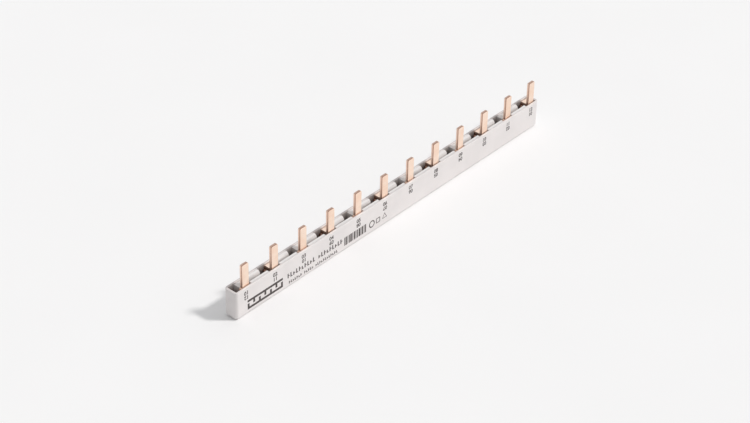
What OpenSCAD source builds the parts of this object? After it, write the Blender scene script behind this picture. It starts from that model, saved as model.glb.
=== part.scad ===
// Two-pole comb busbar for a row of single-module circuit breakers.
// X runs along the bar, the printed front faces -Y and the pins point up +Z.
// The origin lies at the middle of the flat base.

/* [Layout] */
// Number of pins, one for each breaker pole; the two poles take turns
pin_count = 12; // [4:1:24]
// Spacing of the pins, one breaker module
pitch = 17.8; // [17:0.1:18.5]

/* [Copper combs] */
// Thickness of the copper strip
copper_t = 1.4; // [1:0.1:1.6]
// Height of the bar that joins the pins of one pole
bar_h = 7.4; // [5:0.1:8.5]
// Width of a pin
pin_w = 3.9; // [3:0.1:5]
// Height of the pins above the rim of the housing
pin_out = 11.3; // [8:0.1:14]
// Radius of the two upper corners of a pin
tip_r = 0.6; // [0.2:0.1:1.2]
// How far the shoulder of a pin stands out on each side
shoulder = 1; // [0.4:0.1:1.4]
// Inner radius of the bends that bring the rear pins forward
bend_r = 0.4; // [0.2:0.1:0.8]
// Distance between the two poles
pole_gap = 1.9; // [1.7:0.1:2.4]

/* [Housing] */
// Height of the housing
housing_h = 14.4; // [14:0.1:18]
// Thickness of the long walls
wall = 1; // [0.8:0.1:1.4]
// Thickness of the end walls
end_wall = 1.2; // [0.8:0.1:2]
// Thickness of the floor
floor_t = 1.2; // [0.8:0.1:1.8]
// Radius of the lower edges
base_r = 1; // [0.4:0.1:1.6]
// Radius of the upright corners
corner_r = 1; // [0.4:0.1:1.6]

/* [Carrier] */
// Width of the open window on the near side of each pin
window_w = 4; // [3:0.1:5]
// Open length past the last pin
far_pocket = 1.4; // [1:0.1:4]
// Thickness of the lip that lies along the front wall
lip_t = 1.1; // [0.8:0.1:1.2]
// Thickness of the bridge over the two bars
bridge_t = 1.2; // [0.8:0.1:1.6]
// Step from the rim down to the top of the rear blocks
block_drop = 0.2; // [0.1:0.1:0.6]
// Step from the rim down to the tabs behind the front pins
tab_drop = 0.4; // [0.2:0.1:0.8]
// Radius of the front upper edge of the rear blocks
block_r = 0.7; // [0.3:0.1:1]

/* [Fits] */
// Gap between a comb and the housing wall beside it
comb_gap = 0.25; // [0.15:0.05:0.4]
// Gap between a comb and the carrier
carrier_gap = 0.15; // [0.1:0.05:0.25]
// Gap between the carrier and the housing
seat_gap = 0.1; // [0.05:0.05:0.2]
// Gap between a shoulder and the notch around it
notch_gap = 0.2; // [0.1:0.05:0.4]
// Extra length of the notch on the near side of a pin
notch_lead = 0.8; // [0.4:0.1:1.2]
// Gap between the bars and the end walls
end_gap = 0.5; // [0.3:0.1:0.8]
// Step from the rim down to the bent part of a rear pin
jog_drop = 0.5; // [0.3:0.1:0.8]

/* [Hidden] */
$fn = 48;
eps = 0.01;
plastic_grey = [0.9, 0.89, 0.88];
plastic_white = [0.95, 0.94, 0.93];
copper = [0.87, 0.6, 0.48];

// across the bar
inner_w = 2 * comb_gap + 2 * copper_t + pole_gap;
housing_w = inner_w + 2 * wall;
front_y = -pole_gap / 2 - copper_t;
rear_y = pole_gap / 2;
lip_y = -inner_w / 2 + seat_gap;
web_y = rear_y - carrier_gap;

// along the bar
near_margin = end_wall + window_w + pin_w / 2;
far_margin = end_wall + far_pocket + pin_w / 2;
length = near_margin + (pin_count - 1) * pitch + far_margin;
inner_x0 = -length / 2 + end_wall;
inner_x1 = length / 2 - end_wall;
notch_right = shoulder + notch_gap;
notch_left = notch_right + notch_lead;
function pin_x(i) = -length / 2 + near_margin + i * pitch;

// up the bar
bar_top = floor_t + bar_h;
web_top = bar_top + carrier_gap + bridge_t / 2;
bridge_top = bar_top + carrier_gap + bridge_t;
jog_top = housing_h - jog_drop;
jog_low = jog_top - copper_t;
shoulder_top = jog_top;
tip_z = housing_h + pin_out;

// Rectangle with its lower left corner at the origin and all four corners rounded
module rounded_rect(size, r) {
    translate([r, 0]) square([size[0] - 2 * r, size[1]]);
    translate([0, r]) square([size[0], size[1] - 2 * r]);
    for (x = [r, size[0] - r], y = [r, size[1] - r])
        translate([x, y]) circle(r);
}

// Rectangle rounded at its lower corners only
module tray_section(size, r) {
    translate([r, 0]) square([size[0] - 2 * r, size[1]]);
    translate([0, r]) square([size[0], size[1] - r]);
    for (x = [r, size[0] - r])
        translate([x, r]) circle(r);
}

// Rectangle rounded at its upper corners only
module tongue(size, r) {
    translate([r, 0]) square([size[0] - 2 * r, size[1]]);
    square([size[0], size[1] - r]);
    for (x = [r, size[0] - r])
        translate([x, size[1] - r]) circle(r);
}

// Stands a flat XY shape up in the XZ plane, from y to y + depth
module upright(y, depth) {
    translate([0, y + depth, 0])
        rotate([90, 0, 0])
            linear_extrude(depth) children();
}

// Turns a flat shape drawn as (Y, Z) into a bar along X, from x to x + len
module along(x, len) {
    translate([x, 0, 0])
        rotate([90, 0, 90])
            linear_extrude(len) children();
}

// Quarter of a ring around the origin, in the quadrant given by the two signs
module quarter_ring(r_in, r_out, sx, sy) {
    intersection() {
        difference() {
            circle(r_out);
            circle(r_in);
        }
        translate([sx > 0 ? 0 : -r_out, sy > 0 ? 0 : -r_out]) square(r_out);
    }
}

// Moulded tray, closed at both ends and open along the top
module housing() {
    color(plastic_grey) difference() {
        intersection() {
            along(-length / 2, length)
                translate([-housing_w / 2, 0]) tray_section([housing_w, housing_h], base_r);
            translate([-length / 2, -housing_w / 2, 0])
                linear_extrude(housing_h) rounded_rect([length, housing_w], corner_r);
            upright(-housing_w / 2, housing_w)
                translate([-length / 2, 0]) tray_section([length, housing_h], base_r);
        }
        translate([inner_x0, -inner_w / 2, floor_t])
            cube([inner_x1 - inner_x0, inner_w, housing_h]);
    }
}

// Flat outline of one pole: the bar and the shoulders of its own pins
module bar_outline(first) {
    translate([inner_x0 + end_gap, floor_t])
        square([inner_x1 - inner_x0 - 2 * end_gap, bar_h]);
    for (i = [first : 2 : pin_count - 1])
        translate([pin_x(i) - pin_w / 2 - shoulder, bar_top - eps])
            children();
}

// Front pole: stamped flat, its pins rise straight out of the bar
module front_comb() {
    color(copper) upright(front_y, copper_t) {
        bar_outline(0)
            tongue([pin_w + 2 * shoulder, shoulder_top - bar_top], shoulder);
        for (i = [0 : 2 : pin_count - 1])
            translate([pin_x(i) - pin_w / 2, bar_top - eps])
                tongue([pin_w, tip_z - bar_top + eps], tip_r);
    }
}

// Side view of the double bend that brings a rear pin into line with the front ones
module jog_section() {
    bend_out = bend_r + copper_t;
    translate([rear_y, bar_top - eps]) square([copper_t, jog_low - bend_r - bar_top + eps]);
    translate([rear_y - bend_r, jog_low - bend_r]) quarter_ring(bend_r, bend_out, 1, 1);
    translate([-rear_y + bend_r, jog_low]) square([2 * (rear_y - bend_r), copper_t]);
    translate([-rear_y + bend_r, jog_top + bend_r]) quarter_ring(bend_r, bend_out, -1, -1);
}

// Rear pole: its pins step forward over the front bar and then rise
module rear_comb() {
    color(copper) {
        upright(rear_y, copper_t)
            bar_outline(1)
                tongue([pin_w + 2 * shoulder, jog_low - bend_r - bar_top], shoulder);
        for (i = [1 : 2 : pin_count - 1]) {
            along(pin_x(i) - pin_w / 2, pin_w) jog_section();
            upright(front_y, copper_t)
                translate([pin_x(i) - pin_w / 2, jog_top + bend_r - eps])
                    tongue([pin_w, tip_z - jog_top - bend_r + eps], tip_r);
        }
    }
}

// Section of the saddle between two pins, drawn as (Y, Z): bridge and rear block
module saddle_section() {
    back_y = inner_w / 2 - seat_gap;
    block_top = housing_h - block_drop;
    translate([lip_y, bar_top + carrier_gap]) square([back_y - lip_y, bridge_t]);
    translate([web_y, bridge_top - eps])
        square([back_y - web_y, block_top - block_r - bridge_top + eps]);
    translate([web_y + block_r, bridge_top])
        square([back_y - web_y - block_r, block_top - bridge_top]);
    translate([web_y + block_r, block_top - block_r]) circle(block_r);
}

// Insulating insert: a web between the two poles and one saddle for each gap between pins
module carrier() {
    color(plastic_white) {
        translate([inner_x0 + seat_gap, -web_y, floor_t])
            cube([inner_x1 - inner_x0 - 2 * seat_gap, 2 * web_y, web_top - floor_t]);
        for (i = [0 : pin_count - 2]) {
            x0 = pin_x(i) + pin_w / 2 + notch_right;
            x1 = pin_x(i + 1) - pin_w / 2;
            along(x0, x1 - window_w - x0) saddle_section();
            translate([x0, lip_y, bar_top + carrier_gap])
                cube([x1 - notch_left - x0, lip_t, housing_h - bar_top - carrier_gap]);
        }
        for (i = [0 : 2 : pin_count - 2])
            translate([pin_x(i) - pin_w / 2, -web_y, web_top - eps])
                cube([pin_w + notch_right + eps, 2 * web_y, housing_h - tab_drop - web_top + eps]);
    }
}

housing();
carrier();
front_comb();
rear_comb();
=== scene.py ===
"""Dresses the comb busbar: moulded housing and carrier, two copper combs, print, studio."""

import itertools
import math

import bmesh
import bpy
from mathutils import Matrix, Vector


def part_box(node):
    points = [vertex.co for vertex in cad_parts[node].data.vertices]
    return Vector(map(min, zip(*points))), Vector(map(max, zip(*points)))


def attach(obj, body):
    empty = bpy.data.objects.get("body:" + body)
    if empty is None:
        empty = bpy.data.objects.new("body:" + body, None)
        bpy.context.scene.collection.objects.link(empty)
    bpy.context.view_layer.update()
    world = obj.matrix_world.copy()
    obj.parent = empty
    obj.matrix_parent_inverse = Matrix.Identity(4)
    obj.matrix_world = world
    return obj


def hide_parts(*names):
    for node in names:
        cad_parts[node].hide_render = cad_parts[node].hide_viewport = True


bl_info = {
    "name": "Comb Busbar",
    "version": (1, 0, 0),
    "blender": (4, 5, 0),
    "location": "3D View > Sidebar > Busbar",
    "description": "Builds the visible pieces of a two-pole comb busbar around its packed frame",
    "category": "Object",
}

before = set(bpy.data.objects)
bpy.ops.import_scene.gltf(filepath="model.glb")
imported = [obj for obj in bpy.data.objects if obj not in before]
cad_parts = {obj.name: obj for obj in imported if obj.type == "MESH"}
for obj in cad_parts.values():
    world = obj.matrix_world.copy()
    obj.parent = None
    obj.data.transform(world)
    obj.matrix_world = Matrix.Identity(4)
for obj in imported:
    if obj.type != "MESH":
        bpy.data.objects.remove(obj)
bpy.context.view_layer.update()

MM = 0.001
NEAR = 0.001 * MM  # places closer than this are the same
SLACK = 0.01 * MM  # allowance when a face or a corner is picked by its place
FLAT_ANGLE = math.radians(0.3)
UPRIGHT_TURN = math.radians(90)  # turns a shape drawn in X and Y up into X and Z

# Layout along the bar
HOUSING_LOW, HOUSING_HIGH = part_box("housing")
FRONT_LOW, FRONT_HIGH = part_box("front_comb")
PIN_COUNT = 12
PIN_PITCH = 17.8 * MM
FIRST_PIN = HOUSING_LOW.x + 7.15 * MM

# Housing
END_WALL = 1.2 * MM
LONG_WALL = 1.0 * MM
FLOOR = 1.2 * MM
INK_STEP = 0.01 * MM  # how far the front lies back, to leave room for the ink
CORNER_STEPS = 8

# Carrier: the rear blocks, and the backs behind the front pole's pins
BLOCK_FRONT = 0.8 * MM
BLOCK_BACK = 2.5 * MM
BLOCK_TOP = 14.2 * MM
BLOCK_ARC = 0.7 * MM
BACK_NEAR = 2.35 * MM  # from a pin's middle towards the near end
BACK_FAR = 3.2 * MM  # and towards the far end
BACK_TOP = 14.0 * MM
BRIDGE_LOW = 8.75 * MM

# Rear comb: the outer bend that turns a pin forward, in Y and Z
BEND_CENTRE = (0.55 * MM, 12.1 * MM)
BEND_OUTER = 1.8 * MM
STEP_HIGH = 14.35 * MM
TIP_HEIGHT = 20 * MM  # faces that look up from above this are pin tips

# Finishes
# Painted shade: the plastic inside the channel and on the carrier is darkened towards the
# bottom, and a little more just under the rim, in place of the shade deep in the narrow channel
CHANNEL_PAINTED_SHADE = (9.5 * MM, 14.2 * MM, 0.9)  # from, to, and share at the bottom
CARRIER_PAINTED_SHADE = (8.5 * MM, 13.6 * MM, 0.95)
PAINTED_SHADE_TOP = 14.15 * MM
RIM_PAINTED_SHADE = 0.2
# Painted shade on the copper down in the channel: darker below these heights, fading out across
# them
ROLLED_PAINTED_SHADE = (12.2 * MM, 14.6 * MM)  # heights over which the copper clears
PUNCHED_PAINTED_SHADE = (12.6 * MM, 15.2 * MM)
BURNISHED_DEPTH = 0.5 * MM
TORN_DEPTH = 0.75 * MM

# Print on the front, placed along X and Z
INK_START = 0.002 * MM
NUMBER_SHIFT = 1.2 * MM
NUMBER_UPPER = 11.75 * MM
NUMBER_LOWER = 9.3 * MM
CAP_SHARE = 0.7  # height of a figure as a share of its type size
SIGN_LOW = Vector((-97 * MM, 0, 2.5 * MM))
SIGN_HIGH = Vector((-75.4 * MM, 0, 7.4 * MM))
SIGN_STROKE = 1.15 * MM
SIGN_GAP = 1.9 * MM
SIGN_TEETH = 7
DASH_ROWS = (  # left, right, foot and head in millimetres, and strokes in each group
    (-72.4, -36.8, 5.2, 7.6, (10, 9)),
    (-71.6, -40.2, 2.0, 3.5, (7, 5, 12)),
)
DASH_STEM = 0.36  # shares of the space that one stroke takes
DASH_FOOT = 0.74
DASH_SHORT = 0.72
DASH_THICK = 0.42
HATCH_SPAN = (-36.0, -22.0)
HATCH_HEIGHT = (2.9, 7.3)
HATCH_BARS = (0.5, 0.9, 0.35, 0.7, 1.1)
HATCH_GAPS = (0.3, 0.35, 0.5)
PLAIN_SIGNS = ((32, -17.6), (4, -13.4), (3, -9.0))  # sides, and place along X
PLAIN_SIGN_RADIUS = 1.9 * MM
PLAIN_SIGN_STROKE = 0.55 * MM
PLAIN_SIGN_HEIGHT = 5.1 * MM

# Stage
FLOOR_REACH = 3.0
SENSOR_WIDTH = 36.0
CLIP_NEAR, CLIP_FAR = 0.01, 20.0
KEY_SIDE = math.radians(41)  # from the front towards the far end
KEY_HEIGHT = math.radians(48.7)
KEY_SPREAD = math.radians(8)
KEY_COLOUR = (1.0, 0.985, 0.97)
SKY_COLOUR = (0.98, 0.99, 1.0, 1.0)
SKY_LEAN = 0.28  # how much brighter the sky is on the far end's side
SEEN_STRENGTH = 0.95  # brightness of the sky where it is seen or mirrored


def pin_x(i):
    """Middle of a pin, counted from the near end."""
    return FIRST_PIN + i * PIN_PITCH


# ---------------------------------------------------------------- settings


class BusbarPlasticSettings(bpy.types.PropertyGroup):
    """Edges and colours of the two moulded pieces."""

    rim_radius: bpy.props.FloatProperty(
        name="Rim radius", description="Radius on the two edges of the housing's rim",
        default=0.2 * MM, unit="LENGTH",
    )
    corner_radius: bpy.props.FloatProperty(
        name="Corner radius", description="Radius on the housing's upright corners",
        default=1.6 * MM, unit="LENGTH",
    )
    base_radius: bpy.props.FloatProperty(
        name="Base radius", description="Radius around the housing's base",
        default=1.5 * MM, unit="LENGTH",
    )
    block_radius: bpy.props.FloatProperty(
        name="Block radius", description="Radius on the front of the carrier's rear blocks",
        default=1.65 * MM, unit="LENGTH",
    )
    carrier_edge: bpy.props.FloatProperty(
        name="Carrier edge",
        description="Radius on the edges of the carrier",
        default=0.14 * MM, unit="LENGTH",
    )
    housing_colour: bpy.props.FloatVectorProperty(
        name="Housing colour", description="Warm light grey of the housing",
        default=(0.775, 0.735, 0.725), subtype="COLOR", size=3,
    )
    carrier_colour: bpy.props.FloatVectorProperty(
        name="Carrier colour", description="Off-white of the carrier",
        default=(0.81, 0.785, 0.775), subtype="COLOR", size=3,
    )


class BusbarCopperSettings(bpy.types.PropertyGroup):
    """Edges and colours of the two copper combs."""

    edge: bpy.props.FloatProperty(
        name="Edge", description="Rounding left on the rolled faces by the punch",
        default=0.09 * MM, unit="LENGTH",
    )
    coined_radius: bpy.props.FloatProperty(
        name="Coined radius", description="Outer radius of the rear pins' bend",
        default=0.8 * MM, unit="LENGTH",
    )
    step_lift: bpy.props.FloatProperty(
        name="Step lift", description="How much higher the step of the rear pins lies",
        default=0.25 * MM, unit="LENGTH",
    )
    rolled_colour: bpy.props.FloatVectorProperty(
        name="Rolled colour", description="Clean rolled copper",
        default=(1.0, 0.80, 0.665), subtype="COLOR", size=3,
    )
    cut_colour: bpy.props.FloatVectorProperty(
        name="Cut colour", description="Darkened copper on the punched edges",
        default=(0.55, 0.33, 0.25), subtype="COLOR", size=3,
    )


class BusbarPrintSettings(bpy.types.PropertyGroup):
    """Sizes and colour of the print on the front."""

    ink_colour: bpy.props.FloatVectorProperty(
        name="Ink colour", description="Dark brown-grey ink",
        default=(0.045, 0.035, 0.033), subtype="COLOR", size=3,
    )
    number_height: bpy.props.FloatProperty(
        name="Number height", description="Height of the figures under the pins",
        default=1.9 * MM, unit="LENGTH",
    )
    film: bpy.props.FloatProperty(
        name="Film", description="Depth of the ink film",
        default=0.02 * MM, unit="LENGTH",
    )


class BusbarStageSettings(bpy.types.PropertyGroup):
    """Camera, lights and floor."""

    azimuth: bpy.props.FloatProperty(
        name="Azimuth", description="Direction of the camera around the bar",
        default=math.radians(-49.312), subtype="ANGLE",
    )
    elevation: bpy.props.FloatProperty(
        name="Elevation", description="Height of the camera above the floor",
        default=math.radians(35.469), subtype="ANGLE",
    )
    roll: bpy.props.FloatProperty(
        name="Roll", description="Lean of the camera",
        default=math.radians(1.135), subtype="ANGLE",
    )
    distance: bpy.props.FloatProperty(
        name="Distance", description="From the camera to the point it looks at",
        default=895.7 * MM, unit="LENGTH",
    )
    target: bpy.props.FloatVectorProperty(
        name="Target", description="Point that the camera looks at",
        default=(-11.45 * MM, 0.0, 7.01 * MM), subtype="XYZ", size=3,
    )
    lens: bpy.props.FloatProperty(
        name="Lens", description="Focal length in millimetres", default=95.594,
    )
    floor_colour: bpy.props.FloatVectorProperty(
        name="Floor colour", description="Pale floor",
        default=(0.93, 0.925, 0.925), subtype="COLOR", size=3,
    )
    sky_strength: bpy.props.FloatProperty(
        name="Sky strength", description="Even light from all round", default=0.6,
    )
    key_strength: bpy.props.FloatProperty(
        name="Key strength", description="Light of the lamp in front on the right",
        default=1.68,
    )


# ---------------------------------------------------------------- mesh work


def merge_flats(bm):
    """Makes each flat face whole."""
    bmesh.ops.dissolve_limit(
        bm, angle_limit=FLAT_ANGLE, use_dissolve_boundaries=False,
        verts=bm.verts[:], edges=bm.edges[:],
    )


def merged_copy(node):
    """A CAD node's mesh with its doubles merged and its flat faces made whole."""
    bm = bmesh.new()
    bm.from_mesh(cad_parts[node].data)
    bmesh.ops.remove_doubles(bm, verts=bm.verts[:], dist=NEAR / 2)
    merge_flats(bm)
    return bm


def block(low, high):
    """A box between two corners."""
    bm = bmesh.new()
    bmesh.ops.create_cube(bm, size=1.0)
    bmesh.ops.scale(bm, vec=high - low, verts=bm.verts[:])
    bmesh.ops.translate(bm, vec=(low + high) / 2, verts=bm.verts[:])
    return bm


def is_upright(edge):
    """Whether an edge runs straight up."""
    one, other = (vert.co for vert in edge.verts)
    return abs(one.x - other.x) + abs(one.y - other.y) < NEAR


def is_level(edge, height):
    """Whether an edge lies at a height."""
    return all(abs(vert.co.z - height) < NEAR for vert in edge.verts)


def bevel(bm, edges, radius, segments):
    """Rounds the given edges."""
    bmesh.ops.bevel(
        bm, geom=edges, offset=radius, offset_type="OFFSET", segments=segments,
        profile=0.5, affect="EDGES", material=-1, clamp_overlap=True,
    )


def as_object(name, bm):
    """A scene object made from a bmesh, which is used up."""
    mesh = bpy.data.meshes.new(name)
    bm.to_mesh(mesh)
    bm.free()
    made = bpy.data.objects.new(name, mesh)
    bpy.context.scene.collection.objects.link(made)
    return made


def gather(parts):
    """Joins several bmeshes into one."""
    whole = bmesh.new()
    for part in parts:
        loose = bpy.data.meshes.new("part")
        part.to_mesh(loose)
        part.free()
        whole.from_mesh(loose)
        bpy.data.meshes.remove(loose)
    return whole


def combined(bm, tool, operation):
    """One closed shape joined to another, or with the other cut out of it."""
    solid, cutter = as_object("solid", bm), as_object("cutter", tool)
    modifier = solid.modifiers.new("Combine", "BOOLEAN")
    modifier.operation = operation
    modifier.solver = "EXACT"
    modifier.object = cutter
    bpy.context.view_layer.update()
    cut = solid.evaluated_get(bpy.context.evaluated_depsgraph_get())
    result = bmesh.new()
    result.from_mesh(cut.to_mesh())
    cut.to_mesh_clear()
    for spent in (solid, cutter):
        mesh = spent.data
        bpy.data.objects.remove(spent)
        bpy.data.meshes.remove(mesh)
    return result


def round_edges(bm, radius, segments, sharp=math.radians(40)):
    """Rounds every outer edge that turns by more than the given angle."""
    outer = [
        edge for edge in bm.edges
        if edge.is_manifold and edge.is_convex and edge.calc_face_angle() > sharp
    ]
    bevel(bm, outer, radius, segments)


def finished_piece(name, bm, materials, smooth_under=math.radians(50)):
    """Turns a bmesh into a shaded object that rides with the frame."""
    mesh = bpy.data.meshes.new(name)
    bm.to_mesh(mesh)
    bm.free()
    for material in materials:
        mesh.materials.append(material)
    mesh.shade_smooth()
    mesh.set_sharp_from_angle(angle=smooth_under)
    piece = bpy.data.objects.new(name, mesh)
    bpy.context.scene.collection.objects.link(piece)
    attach(piece, "root")
    return piece


def keep_flats_flat(piece):
    """Lets the large faces set the shading, so that only the rounded edges turn the light."""
    modifier = piece.modifiers.new("Flat faces", "WEIGHTED_NORMAL")
    modifier.keep_sharp = True
    modifier.weight = 100


# ---------------------------------------------------------------- materials


class Nodes:
    """Short calls that add and link the nodes of one material."""

    def __init__(self, name):
        self.material = bpy.data.materials.new(name)
        self.material.use_nodes = True
        self.tree = self.material.node_tree
        self.shader = self.tree.nodes["Principled BSDF"]
        self.place = self.tree.nodes.new("ShaderNodeTexCoord").outputs["Object"]

    def add(self, kind, links=(), values=(), **settings):
        """Adds a node with its incoming links and its constants."""
        made = self.tree.nodes.new(kind)
        for key, value in settings.items():
            setattr(made, key, value)
        for key, value in dict(values).items():
            made.inputs[key].default_value = value
        for key, source in dict(links).items():
            self.tree.links.new(source, made.inputs[key])
        return made

    def scaled(self, x, y, z):
        """Object coordinates stretched by a factor on each axis."""
        return self.add(
            "ShaderNodeMapping", {"Vector": self.place}, {"Scale": (x, y, z)},
        ).outputs["Vector"]

    def noise(self, scale, detail=2.0, roughness=0.5, vector=None):
        """Cloudy noise; its scale counts waves in a metre."""
        return self.add(
            "ShaderNodeTexNoise", {"Vector": vector or self.place},
            {"Scale": scale, "Detail": detail, "Roughness": roughness},
        ).outputs["Fac"]

    def span(self, value, low, high, new_low, new_high):
        """Maps a range of values onto another one."""
        return self.add(
            "ShaderNodeMapRange", {"Value": value},
            {"From Min": low, "From Max": high, "To Min": new_low, "To Max": new_high},
        ).outputs["Result"]

    def mix(self, factor, first, second):
        """Mixes two colours, each a socket or three numbers."""
        made = self.add("ShaderNodeMix", {"Factor": factor}, data_type="RGBA")
        for key, colour in ((6, first), (7, second)):
            if hasattr(colour, "is_linked"):
                self.tree.links.new(colour, made.inputs[key])
            else:
                made.inputs[key].default_value = (*colour, 1.0)
        return made.outputs[2]

    def math(self, operation, first, second):
        """One sum of two sockets or numbers."""
        made = self.add("ShaderNodeMath", operation=operation)
        for index, value in enumerate((first, second)):
            if hasattr(value, "is_linked"):
                self.tree.links.new(value, made.inputs[index])
            else:
                made.inputs[index].default_value = value
        return made.outputs["Value"]

    def bump(self, height, distance, strength=1.0, normal=None):
        """A normal raised by a height, over another normal where one is given."""
        links = {"Height": height}
        if normal:
            links["Normal"] = normal
        return self.add(
            "ShaderNodeBump", links, {"Distance": distance, "Strength": strength},
        ).outputs["Normal"]

    def feed(self, **sockets):
        """Links sockets into the shader."""
        for key, source in sockets.items():
            self.tree.links.new(source, self.shader.inputs[key.replace("_", " ")])

    def fix(self, **sockets):
        """Sets constants on the shader."""
        for key, value in sockets.items():
            self.shader.inputs[key.replace("_", " ")].default_value = value


def shade(colour, factor):
    """A colour made darker or lighter."""
    return tuple(part * factor for part in colour)


def tinted(colour, factors):
    """A colour with each of its three parts scaled by a factor of its own."""
    return tuple(part * factor for part, factor in zip(colour, factors))


def moulded_plastic(name, colour, grain, gloss, painted_shade=None):
    """Spark-eroded moulded plastic: fine grain, faint flow marks and a few dust specks.

    Grain is the depth of the texture and gloss the roughness. Painted shade, where given, is
    the range of heights over which a darkening that stands in for shade in the channel fades
    out, and its share at the bottom.
    """
    n = Nodes(name)
    clouds = n.noise(90.0, 3.0, 0.55)
    flow = n.noise(40.0, 2.0, 0.5, n.scaled(0.25, 1.0, 3.0))
    tone = n.mix(n.span(clouds, 0.35, 0.65, 0.0, 1.0), shade(colour, 0.965), shade(colour, 1.02))
    tone = n.mix(n.span(flow, 0.45, 0.75, 0.0, 0.35), tone, shade(colour, 0.95))
    dust = n.add(
        "ShaderNodeTexVoronoi", {"Vector": n.place}, {"Scale": 420.0},
    ).outputs["Distance"]
    speck = n.math(
        "MULTIPLY", n.span(dust, 0.03, 0.06, 1.0, 0.0),
        n.span(n.noise(130.0, 1.0), 0.6, 0.64, 0.0, 0.5),
    )
    tone = n.mix(speck, tone, shade(colour, 0.6))
    # Painted shade: darker towards the bottom of the channel, and a little darker up to just
    # under the rim
    if painted_shade:
        low, high, share = painted_shade
        height = n.add("ShaderNodeSeparateXYZ", {"Vector": n.place}).outputs["Z"]
        shade_tint = tinted(colour, (0.17, 0.115, 0.09))
        tone = n.mix(n.span(height, low, high, share, 0.0), tone, shade_tint)
        tone = n.mix(n.span(height, high, PAINTED_SHADE_TOP, RIM_PAINTED_SHADE, 0.0), tone, shade_tint)
    n.feed(Base_Color=tone)
    fine = n.noise(5200.0, 2.0, 0.6)
    rough = n.math("ADD", n.span(clouds, 0.3, 0.7, gloss - 0.04, gloss + 0.05),
                   n.span(fine, 0.3, 0.7, -0.04, 0.04))
    n.feed(Roughness=rough)
    wave = n.bump(flow, 0.03 * MM, 0.5)
    n.feed(Normal=n.bump(fine, grain, 1.0, wave))
    n.fix(IOR=1.49, Subsurface_Weight=0.06, Subsurface_Scale=0.8 * MM)
    n.shader.inputs["Subsurface Radius"].default_value = (1.0, 0.9, 0.85)
    return n.material


def rolled_copper(name, clean):
    """Rolled copper strip: fine lines along the strip, handling marks and light tarnish."""
    n = Nodes(name)
    lines = n.noise(2600.0, 3.0, 0.6, n.scaled(0.02, 1.0, 1.0))
    patches = n.noise(170.0, 4.0, 0.6)
    blush = n.span(patches, 0.42, 0.72, 0.0, 0.55)
    tone = n.mix(blush, clean, tinted(clean, (0.92, 0.80, 0.72)))
    tone = n.mix(n.span(lines, 0.4, 0.7, 0.0, 0.16), tone, shade(clean, 0.7))
    height = n.add("ShaderNodeSeparateXYZ", {"Vector": n.place}).outputs["Z"]
    # Painted shade: the copper is darkened below the rim, down in the channel
    ragged = n.math("MULTIPLY", patches, 2.0 * MM)
    painted_copper_shade = n.span(n.math("ADD", height, ragged), *ROLLED_PAINTED_SHADE, 0.85, 0.0)
    tone = n.mix(painted_copper_shade, tone, tinted(clean, (0.36, 0.26, 0.22)))
    n.feed(Base_Color=tone)
    n.feed(Roughness=n.math(
        "ADD", n.span(patches, 0.3, 0.7, 0.27, 0.42), n.span(lines, 0.3, 0.7, -0.03, 0.05),
    ))
    n.feed(Normal=n.bump(lines, 0.004 * MM, 0.8, n.bump(patches, 0.01 * MM, 0.3)))
    n.fix(Metallic=1.0)
    return n.material


def punched_copper(name, dark, clean):
    """Edge of the strip as the punch leaves it: a burnished band and a rough torn one."""
    n = Nodes(name)
    place = n.add("ShaderNodeSeparateXYZ", {"Vector": n.place}).outputs
    ragged = n.span(n.noise(900.0, 3.0, 0.6), 0.3, 0.7, -0.1 * MM, 0.1 * MM)
    torn = n.span(n.math("ADD", place["Y"], ragged), FRONT_LOW.y + BURNISHED_DEPTH,
                  FRONT_LOW.y + TORN_DEPTH, 0.0, 1.0)
    drag = n.noise(3000.0, 3.0, 0.7, n.scaled(1.0, 0.15, 1.0))
    tone = n.mix(torn, dark, tinted(clean, (0.95, 0.92, 0.92)))
    tone = n.mix(n.span(drag, 0.4, 0.75, 0.0, 0.35), tone, dark)
    tip = n.span(place["Z"], FRONT_HIGH.z - 0.5 * MM, FRONT_HIGH.z - 0.1 * MM, 0.0, 0.55)
    tone = n.mix(tip, tone, shade(dark, 0.45))
    # Painted shade: the punched edges are darkened below the rim, down in the channel
    painted_copper_shade = n.span(place["Z"], *PUNCHED_PAINTED_SHADE, 0.92, 0.0)
    tone = n.mix(painted_copper_shade, tone, tinted(dark, (0.45, 0.36, 0.33)))
    n.feed(Base_Color=tone)
    n.feed(Roughness=n.span(torn, 0.0, 1.0, 0.4, 0.55))
    n.feed(Normal=n.bump(drag, 0.02 * MM, 0.9))
    n.fix(Metallic=1.0)
    return n.material


def pad_ink(name, colour):
    """Printed ink: nearly even, a little thinner in places, with a faint grain."""
    n = Nodes(name)
    thin = n.noise(1500.0, 3.0, 0.6)
    n.feed(Base_Color=n.mix(n.span(thin, 0.45, 0.8, 0.0, 0.6), colour, shade(colour, 3.2)))
    n.feed(Roughness=n.span(thin, 0.3, 0.7, 0.42, 0.6))
    n.feed(Normal=n.bump(thin, 0.003 * MM, 0.5))
    return n.material


# ---------------------------------------------------------------- pieces


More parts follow.
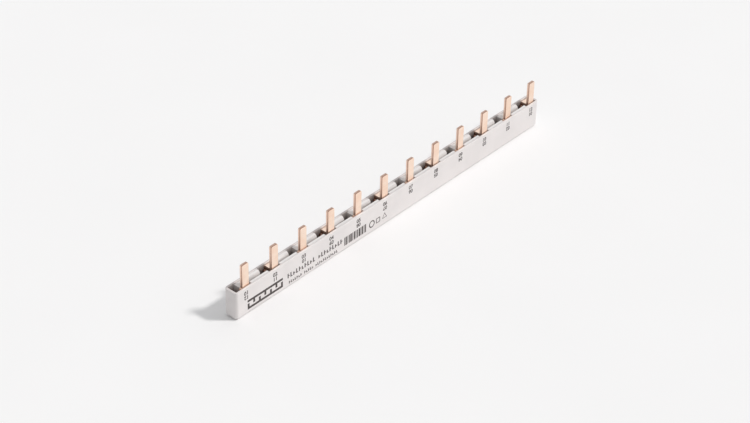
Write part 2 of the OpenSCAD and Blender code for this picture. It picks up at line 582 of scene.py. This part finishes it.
class BUSBAR_OT_housing(bpy.types.Operator):
    """Make the moulded housing, with its rim and outer edges rounded"""

    bl_idname = "busbar.housing"
    bl_label = "Housing"

    def execute(self, context):
        s = context.scene.busbar_plastic
        bm = block(HOUSING_LOW, HOUSING_HIGH)
        bmesh.ops.translate(
            bm, vec=(0, INK_STEP, 0), verts=[v for v in bm.verts if v.co.y < 0],
        )
        bevel(bm, [e for e in bm.edges if is_upright(e)], s.corner_radius, CORNER_STEPS)
        base = [e for e in bm.edges if is_level(e, HOUSING_LOW.z)]
        bevel(bm, base, s.base_radius, CORNER_STEPS)
        hollow = block(
            HOUSING_LOW + Vector((END_WALL, LONG_WALL, FLOOR)),
            HOUSING_HIGH - Vector((END_WALL, LONG_WALL, -FLOOR)),
        )
        bm = combined(bm, hollow, "DIFFERENCE")
        bevel(bm, [e for e in bm.edges if is_level(e, HOUSING_HIGH.z)], s.rim_radius, 3)
        grey = moulded_plastic("grey_moulded_plastic", s.housing_colour, 0.006 * MM, 0.42)
        # A copy of the housing plastic with painted shade, darker towards the bottom, for the
        # faces inside the channel
        channel = moulded_plastic(
            "channel_moulded_plastic", s.housing_colour, 0.006 * MM, 0.45, CHANNEL_PAINTED_SHADE,
        )
        side, back, low = HOUSING_HIGH - Vector((END_WALL, LONG_WALL, HOUSING_HIGH.z - FLOOR))
        for face in bm.faces:
            spot = face.calc_center_median()
            inside = abs(spot.x) < side + SLACK and abs(spot.y) < back + SLACK
            face.material_index = 1 if inside and low - SLACK < spot.z else 0
        shell = finished_piece("housing_shell", bm, [grey, channel])
        keep_flats_flat(shell)
        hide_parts("housing")
        return {"FINISHED"}


class BUSBAR_OT_carrier(bpy.types.Operator):
    """Make the insulating carrier between the two combs"""

    bl_idname = "busbar.carrier"
    bl_label = "Carrier"

    def execute(self, context):
        s = context.scene.busbar_plastic
        bm = merged_copy("carrier")
        arc = [
            v for v in bm.verts
            if v.co.z > BLOCK_TOP - BLOCK_ARC - NEAR
            and v.co.y < BLOCK_FRONT + BLOCK_ARC + NEAR
            and (v.co.y > BLOCK_FRONT + NEAR
                 or abs(v.co.z - BLOCK_TOP + BLOCK_ARC) < NEAR
                 and v.co.y > BLOCK_FRONT - NEAR)
        ]
        if not arc:
            raise RuntimeError("the rounded fronts of the rear blocks were not found")
        growth = s.block_radius / BLOCK_ARC
        bmesh.ops.scale(
            bm, vec=(1.0, growth, growth), verts=arc,
            space=Matrix.Translation((0, -BLOCK_FRONT, -BLOCK_TOP)),
        )
        backs = gather([
            block(
                Vector((pin_x(i) - BACK_NEAR, -BLOCK_FRONT, BRIDGE_LOW)),
                Vector((pin_x(i) + BACK_FAR, BLOCK_BACK, BACK_TOP)),
            )
            for i in range(0, PIN_COUNT - 1, 2)
        ])
        bm = combined(bm, backs, "UNION")
        merge_flats(bm)
        round_edges(bm, s.carrier_edge, 2)
        # The carrier plastic has painted shade: darker towards the bottom and on the rounded
        # fronts of the rear blocks
        white = moulded_plastic(
            "white_moulded_plastic", s.carrier_colour, 0.004 * MM, 0.38, CARRIER_PAINTED_SHADE,
        )
        insert = finished_piece("carrier_insert", bm, [white])
        keep_flats_flat(insert)
        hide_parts("carrier")
        return {"FINISHED"}


def square_bends(bm, s):
    """Coins the outer bend of the rear pins and lifts their step a little."""
    y, z = BEND_CENTRE
    arc = [
        v for v in bm.verts
        if v.co.y > y - NEAR and v.co.z > z - NEAR
        and abs(math.hypot(v.co.y - y, v.co.z - z) - BEND_OUTER) < 2 * SLACK
    ]
    if not arc:
        raise RuntimeError("the outer bend of the rear pins was not found")
    tight = s.coined_radius / BEND_OUTER
    bmesh.ops.scale(
        bm, vec=(1.0, tight, tight), verts=arc,
        space=Matrix.Translation((0, -y - BEND_OUTER, -z - BEND_OUTER)),
    )
    step = [v for v in bm.verts if z - SLACK < v.co.z < STEP_HIGH]
    bmesh.ops.translate(bm, vec=(0, 0, s.step_lift), verts=step)


class BUSBAR_OT_combs(bpy.types.Operator):
    """Make the two copper combs, with punched edges around their rolled faces"""

    bl_idname = "busbar.combs"
    bl_label = "Copper combs"

    def execute(self, context):
        s = context.scene.busbar_copper
        rolled = rolled_copper("rolled_copper", s.rolled_colour)
        punched = punched_copper("punched_copper", s.cut_colour, s.rolled_colour)
        for node, name in (("front_comb", "front_pole"), ("rear_comb", "rear_pole")):
            bm = merged_copy(node)
            if node == "rear_comb":
                square_bends(bm, s)
            for face in bm.faces:
                sideways = abs(face.normal.x) > 0.3
                tip = face.normal.z > 0.2 and face.calc_center_median().z > TIP_HEIGHT
                face.material_index = 1 if sideways or tip else 0
            round_edges(bm, s.edge, 2)
            pole = finished_piece(name, bm, [rolled, punched])
            keep_flats_flat(pole)
            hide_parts(node)
        return {"FINISHED"}


def ink_solid(bm, film):
    """Gives flat ink shapes, drawn in X and Z, the depth of a film."""
    flat = bmesh.ops.extrude_face_region(bm, geom=bm.faces[:])
    moved = [part for part in flat["geom"] if isinstance(part, bmesh.types.BMVert)]
    bmesh.ops.translate(bm, vec=(0, film, 0), verts=moved)
    bmesh.ops.recalc_face_normals(bm, faces=bm.faces[:])


def patch(bm, x0, x1, z0, z1):
    """A flat rectangle in X and Z."""
    made = bmesh.ops.create_grid(bm, x_segments=1, y_segments=1, size=0.5)["verts"]
    bmesh.ops.transform(bm, matrix=Matrix.Rotation(UPRIGHT_TURN, 4, "X"), verts=made)
    bmesh.ops.scale(bm, vec=(x1 - x0, 1.0, z1 - z0), verts=made)
    bmesh.ops.translate(bm, vec=((x0 + x1) / 2, 0, (z0 + z1) / 2), verts=made)


def printed(name, bm, context):
    """Lays finished ink shapes on the front of the housing."""
    s = context.scene.busbar_print
    ink_solid(bm, s.film)
    bmesh.ops.translate(bm, vec=(0, HOUSING_LOW.y + INK_START, 0), verts=bm.verts[:])
    material = bpy.data.materials.get("pad_ink") or pad_ink("pad_ink", s.ink_colour)
    piece = finished_piece(name, bm, [material], math.radians(20))
    return piece


def figures(text, height, centre_x, centre_z, turned):
    """A number as a flat bmesh in X and Z."""
    curve = bpy.data.curves.new("figures", "FONT")
    curve.body = text
    curve.size = height / CAP_SHARE
    curve.align_x = "CENTER"
    curve.align_y = "CENTER"
    curve.resolution_u = 4
    curve.offset = 0.045 * height
    holder = bpy.data.objects.new("figures", curve)
    bpy.context.scene.collection.objects.link(holder)
    bpy.context.view_layer.update()
    mesh = holder.to_mesh()
    bm = bmesh.new()
    bm.from_mesh(mesh)
    holder.to_mesh_clear()
    bpy.data.objects.remove(holder)
    bpy.data.curves.remove(curve)
    bmesh.ops.remove_doubles(bm, verts=bm.verts[:], dist=NEAR)
    xs = [vert.co.x for vert in bm.verts]
    ys = [vert.co.y for vert in bm.verts]
    middle = Vector(((min(xs) + max(xs)) / 2, (min(ys) + max(ys)) / 2, 0))
    bmesh.ops.translate(bm, vec=-middle, verts=bm.verts[:])
    if turned:
        bmesh.ops.rotate(bm, matrix=Matrix.Rotation(math.pi, 3, "Z"), verts=bm.verts[:])
    bmesh.ops.rotate(bm, matrix=Matrix.Rotation(UPRIGHT_TURN, 3, "X"), verts=bm.verts[:])
    bmesh.ops.translate(bm, vec=(centre_x, 0, centre_z), verts=bm.verts[:])
    return bm


def pin_numbers(s):
    """Plain figures under the pins, counted from both ends; the lower row stands on its head."""
    numbers = []
    for i in range(PIN_COUNT):
        x = pin_x(i) - NUMBER_SHIFT
        upper, lower = f"{i + 1:02d}", f"{PIN_COUNT - i:02d}"
        numbers.append(figures(upper, s.number_height, x, NUMBER_UPPER, False))
        numbers.append(figures(lower, s.number_height, x, NUMBER_LOWER, True))
    return gather(numbers)


def comb_sign(s):
    """Two combs whose teeth take turns."""
    bm = bmesh.new()
    left, low, right, high = SIGN_LOW.x, SIGN_LOW.z, SIGN_HIGH.x, SIGN_HIGH.z
    patch(bm, left, right, low, low + SIGN_STROKE)
    patch(bm, left, right, high - SIGN_STROKE, high)
    step = (right - left - SIGN_STROKE) / (SIGN_TEETH - 1)
    for i in range(SIGN_TEETH):
        x = left + i * step
        if i % 2:
            patch(bm, x, x + SIGN_STROKE, low + SIGN_GAP, high - SIGN_STROKE)
        else:
            patch(bm, x, x + SIGN_STROKE, low + SIGN_STROKE, high - SIGN_GAP)
    return bm


def dash_rows(s):
    """Two rows of plain strokes and dashes."""
    bm = bmesh.new()
    for x, end, low, high, groups in DASH_ROWS:
        step = (end - x) / (sum(groups) + len(groups) - 1)
        for strokes in groups:
            for i in range(strokes):
                tall = (i * 7 + strokes) % 3
                top = high if tall else low + DASH_SHORT * (high - low)
                stem, foot_end = x + DASH_STEM * step, x + DASH_FOOT * step
                patch(bm, x * MM, stem * MM, low * MM, top * MM)
                foot = low if i % 2 else 0.5 * (low + top) - 0.2
                patch(bm, stem * MM, foot_end * MM, foot * MM, (foot + DASH_THICK) * MM)
                x += step
            x += step
    return bm


def hatch_block(s):
    """Upright bars of a few widths that repeat."""
    bm = bmesh.new()
    x, end = HATCH_SPAN
    low, high = HATCH_HEIGHT
    bars, gaps = itertools.cycle(HATCH_BARS), itertools.cycle(HATCH_GAPS)
    while x < end:
        width = next(bars)
        patch(bm, x * MM, (x + width) * MM, low * MM, high * MM)
        x += width + next(gaps)
    return bm


def plain_signs(s):
    """Outlines of a circle, a square and a triangle."""
    bm = bmesh.new()
    for sides, x in PLAIN_SIGNS:
        shape = bmesh.ops.create_circle(
            bm, cap_ends=True, segments=sides, radius=PLAIN_SIGN_RADIUS,
        )["verts"]
        if sides == 4:
            level = Matrix.Rotation(math.radians(45), 3, "Z")
            bmesh.ops.rotate(bm, matrix=level, verts=shape)
        bmesh.ops.rotate(bm, matrix=Matrix.Rotation(UPRIGHT_TURN, 3, "X"), verts=shape)
        bmesh.ops.translate(bm, vec=(x * MM, 0, PLAIN_SIGN_HEIGHT), verts=shape)
    rims = bmesh.ops.inset_individual(bm, faces=bm.faces[:], thickness=PLAIN_SIGN_STROKE)
    inner = [face for face in bm.faces if face not in rims["faces"]]
    bmesh.ops.delete(bm, geom=inner, context="FACES_ONLY")
    return bm


class BUSBAR_OT_print(bpy.types.Operator):
    """Print plain figures, a comb sign, dash rows, a hatch and simple signs on the front"""

    bl_idname = "busbar.print"
    bl_label = "Print"

    def execute(self, context):
        for draw in (pin_numbers, comb_sign, dash_rows, hatch_block, plain_signs):
            printed(draw.__name__, draw(context.scene.busbar_print), context)
        return {"FINISHED"}


# ---------------------------------------------------------------- stage


def floor_material(colour):
    """Pale matt floor that keeps the shadow of the bar."""
    n = Nodes("pale_floor")
    mottle = n.noise(14.0, 2.0)
    n.feed(Base_Color=n.mix(n.span(mottle, 0.3, 0.7, 0.0, 1.0), shade(colour, 0.995),
                            shade(colour, 1.005)))
    n.fix(Roughness=0.9, Specular_IOR_Level=0.1)
    return n.material


def make_floor(s):
    """A wide flat floor under the bar."""
    bm = bmesh.new()
    bmesh.ops.create_grid(bm, x_segments=2, y_segments=2, size=FLOOR_REACH)
    floor = as_object("floor", bm)
    floor.data.materials.append(floor_material(s.floor_colour))


def make_camera(scene, s):
    """A camera that looks at the target from its two angles."""
    back = Vector((
        math.sin(s.azimuth) * math.cos(s.elevation),
        -math.cos(s.azimuth) * math.cos(s.elevation),
        math.sin(s.elevation),
    ))
    level = (-back).cross(Vector((0, 0, 1))).normalized()
    upright = level.cross(-back)
    right = math.cos(s.roll) * level + math.sin(s.roll) * upright
    up = -math.sin(s.roll) * level + math.cos(s.roll) * upright
    data = bpy.data.cameras.new("camera")
    data.sensor_fit = "HORIZONTAL"
    data.sensor_width = SENSOR_WIDTH
    data.lens = s.lens
    data.clip_start, data.clip_end = CLIP_NEAR, CLIP_FAR
    camera = bpy.data.objects.new("camera", data)
    place = Matrix((right, up, back)).transposed().to_4x4()
    place.translation = Vector(s.target) + back * s.distance
    camera.matrix_world = place
    scene.collection.objects.link(camera)
    scene.camera = camera


def make_key(scene, s):
    """A soft distant lamp in front, on the right and above."""
    lamp = bpy.data.lights.new("key", "SUN")
    lamp.energy = s.key_strength
    lamp.angle = KEY_SPREAD
    lamp.color = KEY_COLOUR
    key = bpy.data.objects.new("key", lamp)
    towards = Vector((
        math.sin(KEY_SIDE) * math.cos(KEY_HEIGHT),
        -math.cos(KEY_SIDE) * math.cos(KEY_HEIGHT),
        math.sin(KEY_HEIGHT),
    ))
    key.matrix_world = towards.to_track_quat("Z", "Y").to_matrix().to_4x4()
    scene.collection.objects.link(key)


def make_sky(scene, s):
    """Even light, a little stronger on one side, and a pale backdrop where it is seen."""
    world = bpy.data.worlds.new("sky")
    world.use_nodes = True
    tree = world.node_tree
    sky = tree.nodes["Background"]
    sky.inputs["Color"].default_value = SKY_COLOUR
    direction = tree.nodes.new("ShaderNodeTexCoord")
    across = tree.nodes.new("ShaderNodeSeparateXYZ")
    tree.links.new(direction.outputs["Generated"], across.inputs["Vector"])
    slope = tree.nodes.new("ShaderNodeMapRange")
    slope.inputs["From Min"].default_value = -1.0
    slope.inputs["To Min"].default_value = s.sky_strength - SKY_LEAN
    slope.inputs["To Max"].default_value = s.sky_strength + SKY_LEAN
    tree.links.new(across.outputs["X"], slope.inputs["Value"])
    rays = tree.nodes.new("ShaderNodeLightPath")
    seen = tree.nodes.new("ShaderNodeMath")
    seen.operation = "MAXIMUM"
    tree.links.new(rays.outputs["Is Camera Ray"], seen.inputs[0])
    tree.links.new(rays.outputs["Is Glossy Ray"], seen.inputs[1])
    strength = tree.nodes.new("ShaderNodeMapRange")
    tree.links.new(slope.outputs["Result"], strength.inputs["To Min"])
    strength.inputs["To Max"].default_value = SEEN_STRENGTH
    tree.links.new(seen.outputs["Value"], strength.inputs["Value"])
    tree.links.new(strength.outputs["Result"], sky.inputs["Strength"])
    scene.world = world


class BUSBAR_OT_stage(bpy.types.Operator):
    """Set up the floor, the lights and the camera"""

    bl_idname = "busbar.stage"
    bl_label = "Stage"

    def execute(self, context):
        scene, s = context.scene, context.scene.busbar_stage
        make_floor(s)
        make_camera(scene, s)
        make_key(scene, s)
        make_sky(scene, s)
        scene.view_settings.view_transform = "Standard"
        return {"FINISHED"}


# ---------------------------------------------------------------- panel


class BUSBAR_PT_panel(bpy.types.Panel):
    """Lists the pieces of the busbar"""

    bl_idname = "BUSBAR_PT_panel"
    bl_label = "Comb busbar"
    bl_space_type = "VIEW_3D"
    bl_region_type = "UI"
    bl_category = "Busbar"

    def draw(self, context):
        for operator in OPERATORS:
            self.layout.operator(operator.bl_idname)
        for group in SETTINGS:
            box = self.layout.box()
            for name in SETTINGS[group].__annotations__:
                box.prop(getattr(context.scene, group), name)


SETTINGS = {
    "busbar_plastic": BusbarPlasticSettings,
    "busbar_copper": BusbarCopperSettings,
    "busbar_print": BusbarPrintSettings,
    "busbar_stage": BusbarStageSettings,
}
OPERATORS = (
    BUSBAR_OT_stage, BUSBAR_OT_housing, BUSBAR_OT_carrier, BUSBAR_OT_combs, BUSBAR_OT_print,
)


def register():
    """Registers the settings, the operators and the panel."""
    for group, settings in SETTINGS.items():
        bpy.utils.register_class(settings)
        setattr(bpy.types.Scene, group, bpy.props.PointerProperty(type=settings))
    for operator in OPERATORS:
        bpy.utils.register_class(operator)
    bpy.utils.register_class(BUSBAR_PT_panel)


def unregister():
    """Takes back what register did."""
    bpy.utils.unregister_class(BUSBAR_PT_panel)
    for operator in reversed(OPERATORS):
        bpy.utils.unregister_class(operator)
    for group, settings in reversed(SETTINGS.items()):
        delattr(bpy.types.Scene, group)
        bpy.utils.unregister_class(settings)


def main():
    """Builds everything."""
    register()
    bpy.ops.busbar.stage()
    bpy.ops.busbar.housing()
    bpy.ops.busbar.carrier()
    bpy.ops.busbar.combs()
    bpy.ops.busbar.print()


if __name__ == "__main__":
    main()
